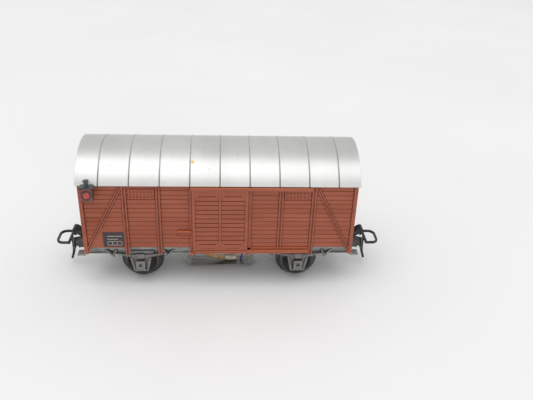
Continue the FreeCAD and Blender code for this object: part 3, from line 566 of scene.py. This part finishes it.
def boarded_line(out, low, high):
    """Heights and places of a boarded face with its rounded grooves."""
    line = [(out, low)]
    for k in range(1, 20):
        z = BOARD_LOW + k * BOARD_STEP
        if low + 0.3 < z < high - 0.3:
            line += [(out, z - 0.19), (out - 0.17, z - 0.12), (out - GROOVE_DEEP, z)]
            line += [(out - 0.17, z + 0.12), (out, z + 0.19)]
    line.append((out, high))
    return line


def boarded_wall(x0, x1, low, high, inner_high):
    """A length of side wall on the far side."""
    outline = [(WALL_IN_Y, low)] + boarded_line(WALL_OUT_Y, low, high) + [(WALL_IN_Y, inner_high)]
    return bar(outline, "x", x0, x1)


def end_wall():
    """The planked right-hand end, rounded off to the roof's arch."""
    rings = []
    places = boarded_line(WALL_OUT_X, BOARD_LOW, EAVE - 0.1)
    for k in range(17):
        z = EAVE + 0.15 + k * 0.5
        in_groove = abs((z - BOARD_LOW) / BOARD_STEP % 1 - 0.5) > 0.38
        places.append((WALL_OUT_X - (GROOVE_DEEP if in_groove else 0.0), z))
    for x, z in places:
        half = WALL_OUT_Y
        if z > ARCH_Z + 9.9:
            half = min(WALL_OUT_Y, math.sqrt(ARCH_IN ** 2 - (z - ARCH_Z) ** 2))
        rings.append([(x, -half, z), (x, half, z), (WALL_IN_X, half, z), (WALL_IN_X, -half, z)])
    return stack(rings)


def channel_post(x):
    """A post with a channel down it, and rivets in the channel."""
    made = [block(x - 0.7, x + 0.7, -15.36, -BEHIND_Y, POST_LOW, EAVE)]
    for way in (-1, 1):
        made.append(block(x + way * 0.25, x + way * 0.7, -POST_OUT_Y, -15.2, POST_LOW, EAVE))
    for z in (14.1, 17.6, 22.6, 27.6, 32.6, 37.6):
        made.append(rivet(x, -15.36, z, -1, 0.16))
    return made


def channel_brace(end):
    """The slanting brace of an end bay: a web with a flange each side."""
    xa, za, xb, zb = end * 43.8, 14.35, end * 31.4, 38.65
    made = [strut(xa, za, xb, zb, 1.1, -15.35, -15.1)]
    run = math.hypot(xb - xa, zb - za)
    nx, nz = -(zb - za) / run * 0.36, (xb - xa) / run * 0.36
    for way in (-1, 1):
        made.append(strut(xa + way * nx, za + way * nz, xb + way * nx, zb + way * nz, 0.38, -15.58, -15.2))
    return made


def slatted_flap(x):
    """A ventilation flap: three rails and eight slats."""
    made = [block(x - 4.15, x + 4.15, -15.34, -15.1, 34.4, 37.7)]
    for low, high in ((34.4, 34.72), (36.02, 36.36), (37.42, 37.7)):
        made.append(block(x - 4.15, x + 4.15, -15.54, -15.2, low, high))
    for k in range(8):
        left = x - 4.15 + k * 1.12
        made.append(block(left, left + 0.46, -15.5, -15.2, 34.5, 37.6))
    return made


def side_trim():
    """What stands out from one side wall: posts, braces, flaps, latch bar,
    label panel, empty frames and the two door rails."""
    made = []
    for x in (-30.5, -19.8, 19.8, 30.5):
        made += channel_post(x)
    for end in (-1, 1):
        made.append(block(end * 43.5, end * 44.7, -POST_OUT_Y, -BEHIND_Y, POST_LOW, EAVE))
        made += channel_brace(end)
        made += slatted_flap(end * 25.05)
        for z in (15.2, 20.0, 25.0, 30.0):
            made.append(rivet(end * 44.1, -POST_OUT_Y, z, -1, 0.16))
    made.append(block(9.12, 10.2, -15.62, -15.1, 13.6, 37.8))
    made.append(block(-9.95, -9.05, -15.62, -15.1, 13.6, 37.8))
    made.append(block(8.3, 10.2, -16.3, -15.1, 13.6, 14.35))
    made.append(block(-9.95, -8.0, -16.3, -15.1, 13.6, 14.35))
    made.append(block(-9.5, 29.7, -15.62, -15.1, 15.3, 16.05))
    made.append(block(-13.9, -9.1, -16.05, -15.6, 21.85, 22.6))
    for x in (-13.2, -10.5):
        made.append(block(x, x + 0.6, -15.7, -15.1, 21.85, 22.6))
    made.append(block(-13.8, -9.95, -15.32, -15.1, 20.4, 21.4))
    for low, high in ((20.4, 20.6), (21.2, 21.4)):
        made.append(block(-13.8, -9.95, -15.42, -15.1, low, high))
    for x in (-13.8, -11.97, -10.15):
        made.append(block(x, x + 0.22, -15.42, -15.1, 20.4, 21.4))
    made.append(rivet(-13.5, -16.05, 22.22, -1, 0.2))
    panel = [(-15.1, 16.0), (-15.46, 16.0), (-15.46, 22.95), (-15.26, 23.9), (-15.1, 23.9)]
    rings = []
    for x_low, x_high in ((-42.25, -38.6), (-31.0, -31.0)):
        rings.append([(x_low + (x_high - x_low) * (z - 16.0) / 7.9, y, z) for y, z in panel])
    made.append(stack(rings))
    for low, high in ((25.3, 25.5), (26.6, 26.85)):
        made.append(block(-43.3, -39.0, -15.42, -15.1, low, high))
    for x in (-43.3, -39.22):
        made.append(block(x, x + 0.22, -15.4, -15.1, 25.3, 26.85))
    rail = [(-15.1, 14.3), (-16.62, 14.3), (-16.62, 15.4), (-16.26, 15.4), (-16.26, 14.75), (-15.76, 14.75),
            (-15.76, 15.4), (-15.1, 15.4)]
    made.append(bar(rail, "x", -8.4, 29.7))
    made.append(bar([(y, 53.2 - z) for y, z in rail], "x", -9.5, 29.7))
    return made


def end_trim():
    """The corner posts and the two tall posts of an end."""
    made = []
    for side in (-1, 1):
        made.append(block(44.2, 44.7, side * 14.1, side * 15.5, 16.0, 38.9))
        made.append(block(44.2, 44.7, side * 4.6, side * 5.8, 16.0, 45.6))
        for z in (17.6, 22.6, 27.6, 32.6, 37.4, 42.4):
            made.append(turned([(44.6, 0.0), (44.6, 0.18), (44.78, 0.14), (44.8, 0.0)], "x",
                               (side * 5.2, z), 12))
    return made


parts = []
for side in (-1, 1):
    for x0, x1, low in ((-44.3, -8.2, 16.0), (8.2, 44.3, 16.0), (-8.2, 8.2, 36.6)):
        parts += flipped([boarded_wall(x0, x1, low, 39.45, 40.8)], y=side)
    parts += flipped([block(-8.2, 8.2, WALL_IN_Y, WALL_OUT_Y, 16.0, 18.3)], y=side)
    parts += flipped([end_wall()] + end_trim(), x=side)
parts += side_trim() + flipped(side_trim(), x=-1, y=-1)
piece("body_moulding", parts, body_brown, "car", ["body_shell"], edge=0.05)

# ------------------------------------------------------------- sliding doors
# Two thin red-brown mouldings that run in the grooved rails, each with two
# boarded leaves between flat frame strips and small corner plates.

DOOR_LOW, DOOR_HIGH = 15.5, 37.8


def door_parts():
    """The near door."""
    left, right, middle = -9.0, 9.1, 0.05
    made = [block(left, right, -16.08, -15.74, DOOR_LOW, DOOR_HIGH)]
    for x0, x1 in ((left + 1.0, middle - 0.32), (middle + 0.32, right - 1.0)):
        edges = [DOOR_LOW] + [DOOR_LOW + 2.2 + k * BOARD_STEP for k in range(12)] + [DOOR_HIGH]
        for k in range(len(edges) - 1):
            made.append(block(x0, x1, -16.3, -16.0, edges[k] + 0.15, edges[k + 1] - 0.15))
        for z, way in ((DOOR_LOW, 1), (DOOR_HIGH, -1)):
            for x, turn in ((x0, 1), (x1, -1)):
                corner = [(x, z), (x + turn * 1.6, z), (x + turn * 1.1, z + way * 2.2), (x, z + way * 3.0)]
                made.append(bar(corner, "y", -16.4, -16.1))
    for x0, x1 in ((left, left + 1.0), (right - 1.0, right), (middle - 0.32, middle + 0.32)):
        made.append(block(x0, x1, -16.5, -16.0, DOOR_LOW, DOOR_HIGH))
    for low, high in ((DOOR_LOW, DOOR_LOW + 0.55), (DOOR_HIGH - 0.55, DOOR_HIGH)):
        made.append(block(left, right, -16.46, -16.0, low, high))
    made.append(block(left + 1.0, right - 1.0, -16.14, -15.86, 15.0, DOOR_LOW + 0.1))
    made.append(block(left + 1.0, right - 1.0, -16.14, -15.86, DOOR_HIGH - 0.1, 38.35))
    for x in (left + 0.5, right - 0.5):
        for k in range(7):
            made.append(rivet(x, -16.5, DOOR_LOW + 1.2 + k * 3.3, -1, 0.17))
    return made


piece("sliding_door_near", door_parts(), body_brown, "door_near", ["door_near"], edge=0.05)
piece("sliding_door_far", flipped(door_parts(), x=-1, y=-1), body_brown, "door_far", ["door_far"],
      edge=0.05)

# -------------------------------------------------------------- label boards
# A dark printed card in the same place on each side. The print is kept plain:
# two ruled lines and a ruled box of three fields, with nothing written in it.

label_dark = finish("label dark", [(0.020, 0.018, 0.022), (0.035, 0.032, 0.038)], (0.4, 0.55), 300, 0.2)
label_pale = finish("label print", [(0.30, 0.22, 0.21), (0.46, 0.38, 0.36)], (0.5, 0.65), 500, 0.1)
board = [block(-38.2, -31.6, -15.58, -15.4, 16.5, 21.9)]
ruled = [block(-36.9, -32.1, -15.61, -15.5, 20.35, 20.62), block(-36.9, -33.4, -15.61, -15.5, 19.25, 19.5)]
for low, high in ((17.0, 17.2), (18.4, 18.6)):
    ruled.append(block(-36.9, -32.1, -15.61, -15.5, low, high))
for x in (-36.9, -35.37, -33.83, -32.3):
    ruled.append(block(x, x + 0.2, -15.61, -15.5, 17.0, 18.6))
for turn, side_name in ((1, "near"), (-1, "far")):
    piece("label_card_" + side_name, flipped(board, x=turn, y=turn), label_dark, "car",
          ["label_board_" + side_name], edge=0.04)
    piece("label_rules_" + side_name, flipped(ruled, x=turn, y=turn), label_pale, "car", (),
          edge=0)

# ----------------------------------------------------------------- tail lamp
# One bulb in a black socket on the inside of the left end. A clear rod above
# it crosses the body and carries the light to the lantern on each side.

socket_black = finish("socket black", [(0.012, 0.012, 0.012), (0.028, 0.028, 0.03)], (0.35, 0.5), 350, 0.3)
clear_glass = finish("clear glass", [(0.88, 0.90, 0.90), (0.96, 0.97, 0.97)], (0.03, 0.08), 200, 0.05)
clear_glass.node_tree.nodes["Principled BSDF"].inputs["Transmission Weight"].default_value = 1.0
parts = [block(-43.3, -39.4, -2.0, 2.0, 30.4, 31.7),
         turned([(31.6, 0.0), (31.6, 1.75), (32.4, 1.6), (32.4, 0.0)], "z", (-41.2, 0), 32)]
piece("lamp_socket_moulding", parts, socket_black, "car", ["lamp_socket"], edge=0.08)
parts = [turned([(32.4, 0.0), (32.4, 1.0), (33.0, 1.1), (34.2, 1.2), (35.2, 1.17), (35.8, 0.9), (36.1, 0.45),
                 (36.2, 0.0)], "z", (-41.2, 0), 32)]
piece("lamp_bulb_glass", parts, clear_glass, "car", ["lamp_bulb"], edge=0)
parts = [turned([(-18.3, 0.0), (-18.3, 0.72), (-18.2, 0.8), (18.2, 0.8), (18.3, 0.72), (18.3, 0.0)], "y",
                (-41.2, 37.2), 32)]
piece("light_rod_clear", parts, clear_glass, "car", ["light_rod"], edge=0)

# ------------------------------------------------------------------ lanterns
# A tail lantern on a bracket at the top of each side, at the left end: a dark
# hooded case with a capped chimney, a black ring and a domed red lens.

lantern_dark = finish("lantern dark", [(0.018, 0.028, 0.028), (0.035, 0.05, 0.05), (0.07, 0.09, 0.09)],
                      (0.3, 0.5), 400, 0.35)
# The darkened corners of the lantern face are painted shade.
lantern_face = finish("lantern face", [(0.16, 0.035, 0.03), (0.24, 0.06, 0.045), (0.30, 0.09, 0.07)],
                      (0.35, 0.5), 350, 0.3, corner_shade=(0.03, 0.01, 0.01), corner_shade_reach=0.4)
lens_red = finish("lens red", [(0.42, 0.010, 0.006), (0.62, 0.025, 0.012)], (0.05, 0.12), 300, 0.05, coat=1.0)
lens_red.node_tree.nodes["Principled BSDF"].inputs["Transmission Weight"].default_value = 0.35
for side, side_name in ((-1, "near"), (1, "far")):
    case = [block(-43.0, -39.4, -18.95, -16.6, 35.1, 39.6), block(-42.3, -40.1, -16.7, -15.1, 35.9, 38.5)]
    case.append(bar([(-43.45, 39.55), (-38.95, 39.55), (-38.95, 39.75), (-39.6, 40.0), (-42.8, 40.0),
                     (-43.45, 39.75)], "y", -19.3, -16.5))
    case.append(turned([(39.9, 0.0), (39.9, 0.85), (40.3, 0.7), (41.5, 0.66), (41.55, 0.92), (41.95, 0.95),
                        (42.1, 0.6), (42.1, 0.0)], "z", (-41.2, -17.9), 28))
    case.append(turned([(-19.3, 1.25), (-19.3, 1.5), (-19.22, 1.58), (-18.9, 1.58), (-18.9, 1.25)], "y",
                       (-41.2, 37.2), 40))
    piece("lantern_case_" + side_name, flipped(case, y=-side), lantern_dark, "car", ["lantern_" + side_name],
          edge=0.06)
    trim = []
    for x in (-43.0, -39.7):
        trim.append(block(x, x + 0.3, -19.06, -18.85, 35.1, 39.55))
    for z in (35.1, 39.2):
        trim.append(block(-43.0, -39.4, -19.06, -18.85, z, z + 0.3))
    trim.append(block(-42.75, -39.65, -19.0, -18.9, 35.35, 39.25))
    piece("lantern_face_" + side_name, flipped(trim, y=-side), lantern_face, "car", (),
          edge=0.03)
    glass = [turned([(-18.3, 0.0), (-18.3, 1.2), (-19.1, 1.22), (-19.25, 1.1), (-19.38, 0.8), (-19.45, 0.4),
                     (-19.48, 0.0)], "y", (-41.2, 37.2), 40)]
    piece("lantern_glass_" + side_name, flipped(glass, y=-side), lens_red, "car",
          ["lantern_lens_" + side_name], edge=0)

# ---------------------------------------------------------------------- roof
# One arched moulding painted silver, clipped over the walls with four tabs.
# Nine raised seams cross it, tinted along them with worn paint and painted shade.

ROOF_OUT, ROOF_IN, ROOF_X, SEAM_STEP = 19.02, 18.2, 45.28, 9.53


def roof_silver():
    """Silver paint, tinted brown along the seams and most of all near the
    eaves, partly paint rubbed through and partly painted shade along the raised
    seams, with fine dark specks and one chip down to the ochre undercoat."""
    made = finish("roof silver", [(0.53, 0.53, 0.52), (0.58, 0.58, 0.57), (0.63, 0.63, 0.62)],
                  (0.34, 0.44), 60, 0.25, metal=0.7, stretch=(1, 0.5, 0.5))
    nodes, links = made.node_tree.nodes, made.node_tree.links
    shader = nodes["Principled BSDF"]
    colour = shader.inputs["Base Color"].links[0].from_socket
    where = nodes.new("ShaderNodeTexCoord")
    split = nodes.new("ShaderNodeSeparateXYZ")
    links.new(where.outputs["Object"], split.inputs["Vector"])

    def amount(source, start, stop, most):
        """A mask that is at its most at start and gone at stop."""
        made_range = nodes.new("ShaderNodeMapRange")
        made_range.inputs["From Min"].default_value = start
        made_range.inputs["From Max"].default_value = stop
        made_range.inputs["To Min"].default_value = most
        made_range.inputs["To Max"].default_value = 0.0
        links.new(source, made_range.inputs["Value"])
        return made_range.outputs["Result"]

    def both(one, two):
        product = nodes.new("ShaderNodeMath")
        product.operation = "MULTIPLY"
        links.new(one, product.inputs[0])
        links.new(two, product.inputs[1])
        return product.outputs["Value"]

    def laid_over(under, mask, tint):
        over = nodes.new("ShaderNodeMix")
        over.data_type = "RGBA"
        over.inputs["B"].default_value = (*tint, 1)
        links.new(mask, over.inputs["Factor"])
        links.new(under, over.inputs["A"])
        return over.outputs["Result"]

    from_seam = nodes.new("ShaderNodeMath")
    from_seam.operation = "PINGPONG"
    from_seam.inputs[1].default_value = SEAM_STEP * 0.0005
    links.new(split.outputs["X"], from_seam.inputs[0])
    patchy = nodes.new("ShaderNodeTexNoise")
    patchy.inputs["Scale"].default_value = 420
    patchy.inputs["Detail"].default_value = 3
    links.new(where.outputs["Object"], patchy.inputs["Vector"])
    # Along each seam the silver turns brown, darkest towards the eaves: partly paint rubbed through to the
    # brown plastic, partly painted shade along the raised seam.
    seam_wear_and_shade = amount(from_seam.outputs["Value"], 0.00008, 0.00024, 1.0)
    low_down = amount(split.outputs["Z"], 0.0385, 0.0500, 1.0)
    colour = laid_over(colour, both(seam_wear_and_shade, amount(patchy.outputs["Fac"], 0.75, 0.3, 0.75)),
                       (0.30, 0.26, 0.20))
    colour = laid_over(colour, both(seam_wear_and_shade, low_down), (0.085, 0.045, 0.030))
    specks = nodes.new("ShaderNodeTexVoronoi")
    specks.inputs["Scale"].default_value = 190
    links.new(where.outputs["Object"], specks.inputs["Vector"])
    colour = laid_over(colour, amount(specks.outputs["Distance"], 0.03, 0.06, 0.55), (0.20, 0.19, 0.18))
    chip = nodes.new("ShaderNodeVectorMath")
    chip.operation = "DISTANCE"
    chip.inputs[1].default_value = (-0.0088, -0.0107, 0.0452)
    links.new(where.outputs["Object"], chip.inputs[0])
    ragged = nodes.new("ShaderNodeMath")
    ragged.operation = "MULTIPLY_ADD"
    ragged.inputs[1].default_value = 0.0008
    links.new(patchy.outputs["Fac"], ragged.inputs[0])
    links.new(chip.outputs["Value"], ragged.inputs[2])
    colour = laid_over(colour, amount(ragged.outputs["Value"], 0.00095, 0.00105, 1.0), (0.60, 0.36, 0.08))
    links.new(colour, shader.inputs["Base Color"])
    return made


stations = [(-ROOF_X, 0.0)]
for k in range(-4, 5):
    x = k * SEAM_STEP
    stations += [(x - 0.22, 0.0), (x - 0.13, 0.12), (x + 0.13, 0.12), (x + 0.22, 0.0)]
stations.append((ROOF_X, 0.0))
rings = []
for x, lift in stations:
    ring = []
    for k in range(49):
        turn = math.radians(-59.27 + 118.54 * k / 48)
        ring.append((x, (ROOF_OUT + lift) * math.sin(turn), ARCH_Z + (ROOF_OUT + lift) * math.cos(turn)))
    for k in range(49):
        turn = math.radians(57.72 - 115.44 * k / 48)
        ring.append((x, ROOF_IN * math.sin(turn), ARCH_Z + ROOF_IN * math.cos(turn)))
    rings.append(ring)
parts = [stack(rings)]
for x in (-20, 20):
    for side in (-1, 1):
        parts.append(block(x - 2, x + 2, side * 13.4, side * 14.12, 36.5, 41.3))
piece("roof_moulding", parts, roof_silver(), "car", ["roof"], edge=0.05, sharp=30)

# --------------------------------------------------------------------- stage
# A pale table top that runs up into the background, big soft lights, and the
# camera above and in front of the car.

floor_mesh = bpy.data.meshes.new("table_top")
floor_mesh.from_pydata([(-4, -3, 0), (4, -3, 0), (4, 8, 0), (-4, 8, 0)], [], [(0, 1, 2, 3)])
table_top = bpy.data.objects.new("table_top", floor_mesh)
bpy.context.scene.collection.objects.link(table_top)
floor_mesh.materials.append(finish("table white", [(0.80, 0.80, 0.80), (0.84, 0.84, 0.84)], (0.6, 0.8), 6,
                                   0.02))


def soft_light(name, place, aim, size, watts):
    """A large oblong lamp turned towards a point."""
    lamp = bpy.data.lights.new(name, "AREA")
    lamp.shape = "RECTANGLE"
    lamp.size, lamp.size_y = size
    lamp.energy = watts
    made = bpy.data.objects.new(name, lamp)
    made.location = place
    made.rotation_euler = (Vector(aim) - Vector(place)).to_track_quat("-Z", "Y").to_euler()
    bpy.context.scene.collection.objects.link(made)


soft_light("overhead", (-0.3, -0.85, 2.8), (0, 0, 0.03), (3.0, 2.2), 38)
soft_light("front fill", (1.0, -3.4, 1.0), (0, 0, 0.02), (2.4, 1.6), 14)
sky = bpy.data.worlds.new("pale room")
sky.use_nodes = True
sky.node_tree.nodes["Background"].inputs["Color"].default_value = (0.94, 0.94, 0.94, 1)
sky.node_tree.nodes["Background"].inputs["Strength"].default_value = 0.80
bpy.context.scene.world = sky
bpy.context.scene.view_settings.view_transform = "Standard"

camera_data = bpy.data.cameras.new("camera")
camera_data.sensor_width = 36.0
camera_data.lens = 40.95
camera_data.clip_start, camera_data.clip_end = 0.01, 20.0
camera = bpy.data.objects.new("camera", camera_data)
bpy.context.scene.collection.objects.link(camera)
right, up = Vector((0.99743, -0.06132, 0.03703)), Vector((-0.00373, 0.47183, 0.88168))
turn = Matrix((right, up, right.cross(up))).transposed()
camera.matrix_world = Matrix.Translation((0.00095, -0.18768, 0.12623)) @ turn.to_4x4()
bpy.context.scene.camera = camera
